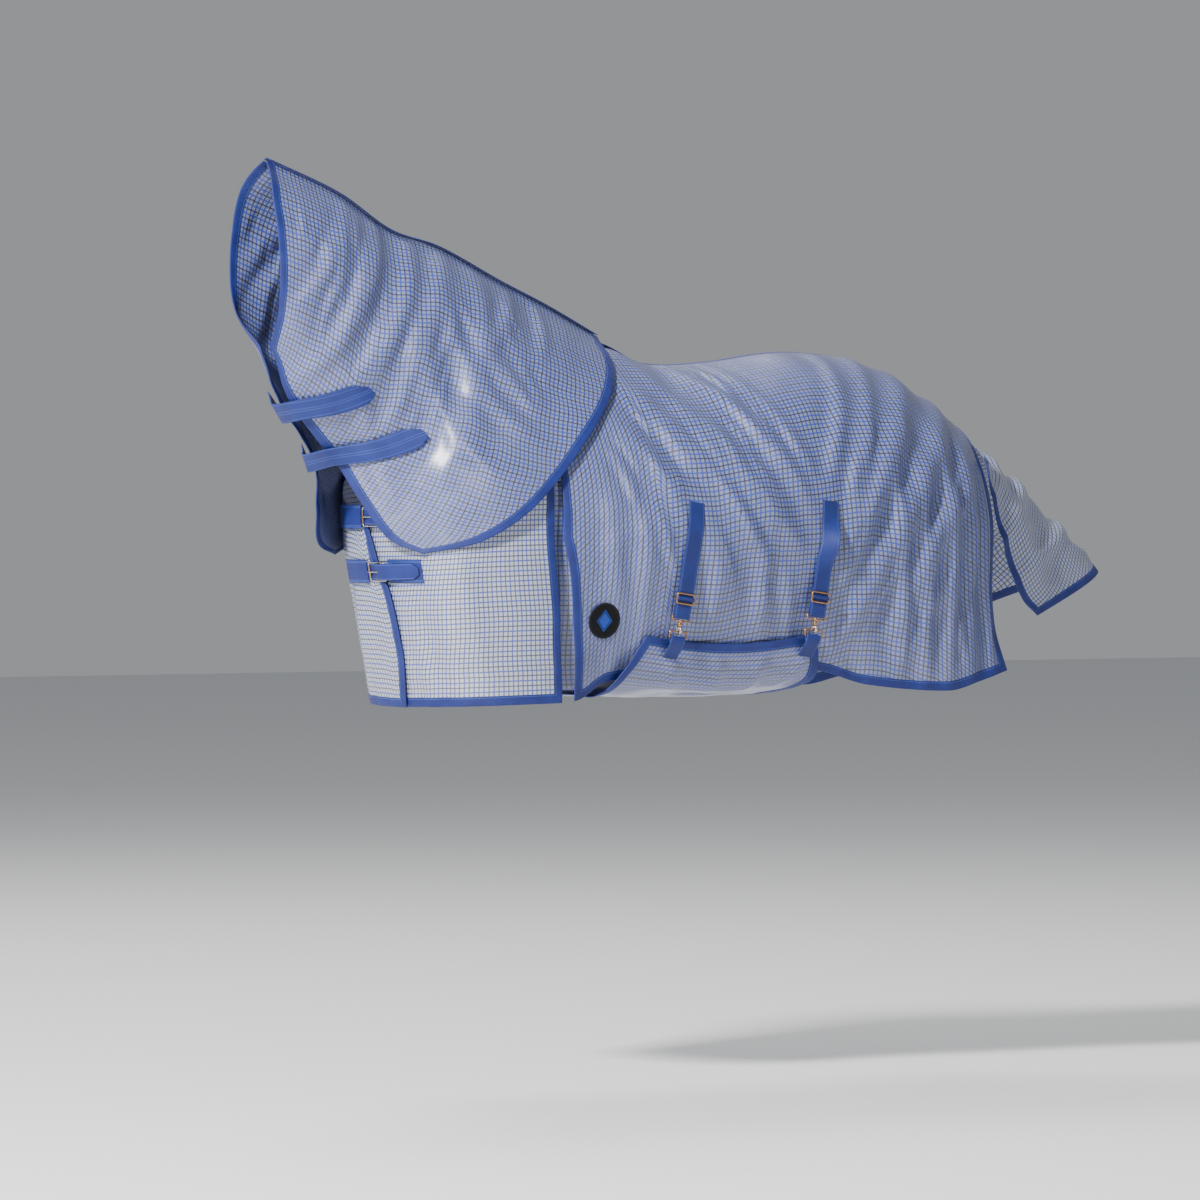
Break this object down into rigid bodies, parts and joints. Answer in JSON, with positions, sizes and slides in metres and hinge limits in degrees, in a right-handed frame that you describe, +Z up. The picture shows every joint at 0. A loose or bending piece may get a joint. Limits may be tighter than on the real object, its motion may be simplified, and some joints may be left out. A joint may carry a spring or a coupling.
{
  "type": "turnout rug",
  "caption": "Mesh turnout rug for a horse, with neck cover, chest buckles, belly wrap on snap-hook surcingles and tail flap.",
  "frame": {"origin": "on the spine at the lowest point of the horse's back, where the rug rests on the horse", "axes": "+X towards the horse's tail, +Y towards its right side, +Z up"},
  "size_m": [2.27, 0.674, 1.2016],
  "materials": {
    "mesh_cloth": "coated check mesh, semi-gloss",
    "binding": "woven nylon binding, satin",
    "webbing": "woven nylon webbing",
    "brass": "cast and polished, worn",
    "nickel": "nickel plated",
    "patch": "woven badge, matt"
  },
  "bodies": {
    "root": {"left_side_panel": "mesh_cloth", "left_side_binding": "binding", "right_side_panel": "mesh_cloth", "right_side_binding": "binding", "spine_tape": "binding", "left_chest_panel": "mesh_cloth", "left_chest_binding": "binding", "right_chest_panel": "mesh_cloth", "right_chest_binding": "binding", "left_shoulder_gusset": "mesh_cloth", "right_shoulder_gusset": "mesh_cloth", "left_neck_panel": "mesh_cloth", "left_neck_binding": "binding", "right_neck_panel": "mesh_cloth", "right_neck_binding": "binding", "mane_tape": "binding", "upper_loop_pad": "webbing", "lower_loop_pad": "webbing", "left_attachment_tab": "webbing", "right_attachment_tab": "webbing", "belly_wrap_panel": "mesh_cloth", "belly_wrap_binding": "binding", "shoulder_patch": "patch", "upper_buckle_frame": "brass", "upper_buckle_chape": "webbing", "upper_chest_billet": "webbing", "upper_billet_base": "webbing", "upper_chape_base": "webbing", "lower_buckle_frame": "brass", "lower_buckle_chape": "webbing", "lower_chest_billet": "webbing", "lower_billet_base": "webbing", "lower_chape_base": "webbing", "front_surcingle_web": "webbing", "front_snap_eye": "brass", "front_wrap_tab": "webbing", "rear_surcingle_web": "webbing", "rear_snap_eye": "brass", "rear_wrap_tab": "webbing"},
    "tail_flap": {"tail_flap_panel": "mesh_cloth", "tail_flap_binding": "binding"},
    "upper_tab": {"upper_neck_tab": "webbing"},
    "lower_tab": {"lower_neck_tab": "webbing"},
    "upper_tongue": {"upper_buckle_tongue": "nickel"},
    "lower_tongue": {"lower_buckle_tongue": "nickel"},
    "front_adjuster": {"front_slider": "brass"},
    "front_snap": {"front_snap_hook": "brass"},
    "front_gate": {"front_snap_gate": "nickel"},
    "front_ring": {"front_wrap_ring": "brass"},
    "rear_adjuster": {"rear_slider": "brass"},
    "rear_snap": {"rear_snap_hook": "brass"},
    "rear_gate": {"rear_snap_gate": "nickel"},
    "rear_ring": {"rear_wrap_ring": "brass"}
  },
  "joints": [
    {"name": "tail_flap_lift", "type": "hinge", "parent": "root", "child": "tail_flap", "pos_m": [0.794, 0, -0.164], "axis": [0, -1, 0], "range_deg": [0, 60]},
    {"name": "upper_tab_peel", "type": "hinge", "parent": "root", "child": "upper_tab", "pos_m": [-0.97397, 0.05518, -0.08678], "axis": [0.6413, 0.0649, -0.7645], "range_deg": [0, 75]},
    {"name": "lower_tab_peel", "type": "hinge", "parent": "root", "child": "lower_tab", "pos_m": [-0.87763, 0.08166, -0.19796], "axis": [0.5694, 0.3041, -0.7638], "range_deg": [0, 75]},
    {"name": "upper_tongue_lift", "type": "hinge", "parent": "root", "child": "upper_tongue", "pos_m": [-0.7732, -0.05024, -0.34047], "axis": [-0.0474, -0.0012, 0.9989], "range_deg": [0, 70]},
    {"name": "lower_tongue_lift", "type": "hinge", "parent": "root", "child": "lower_tongue", "pos_m": [-0.75545, -0.05023, -0.4609], "axis": [-0.1904, -0.0044, 0.9817], "range_deg": [0, 70]},
    {"name": "front_slider_travel", "type": "slide", "parent": "root", "child": "front_adjuster", "axis": [-0.1494, 0.0814, -0.9854], "range_m": [-0.012, 0.018]},
    {"name": "front_snap_swivel", "type": "hinge", "parent": "root", "child": "front_snap", "pos_m": [-0.15499, -0.31936, -0.56647], "axis": [-0.1494, 0.0814, -0.9854], "range_deg": [-12, 12]},
    {"name": "front_gate_press", "type": "hinge", "parent": "front_snap", "child": "front_gate", "pos_m": [-0.15783, -0.32266, -0.58562], "axis": [0.9888, 0.0123, -0.1489], "range_deg": [0, 15], "stiffness_Nm_per_rad": 0.05},
    {"name": "front_ring_pivot", "type": "hinge", "parent": "root", "child": "front_ring", "pos_m": [-0.16139, -0.31587, -0.60865], "axis": [0.9888, 0.0123, -0.1489], "range_deg": [-4, 4]},
    {"name": "rear_slider_travel", "type": "slide", "parent": "root", "child": "rear_adjuster", "axis": [-0.1428, 0.0592, -0.988], "range_m": [-0.012, 0.018]},
    {"name": "rear_snap_swivel", "type": "hinge", "parent": "root", "child": "rear_snap", "pos_m": [0.20293, -0.32471, -0.56654], "axis": [-0.1428, 0.0592, -0.988], "range_deg": [-12, 12]},
    {"name": "rear_gate_press", "type": "hinge", "parent": "rear_snap", "child": "rear_gate", "pos_m": [0.20021, -0.32845, -0.58563], "axis": [0.9898, 0.0085, -0.1425], "range_deg": [0, 15], "stiffness_Nm_per_rad": 0.05},
    {"name": "rear_ring_pivot", "type": "hinge", "parent": "root", "child": "rear_ring", "pos_m": [0.19682, -0.32217, -0.60883], "axis": [0.9898, 0.0085, -0.1425], "range_deg": [-4, 4]}
  ]
}
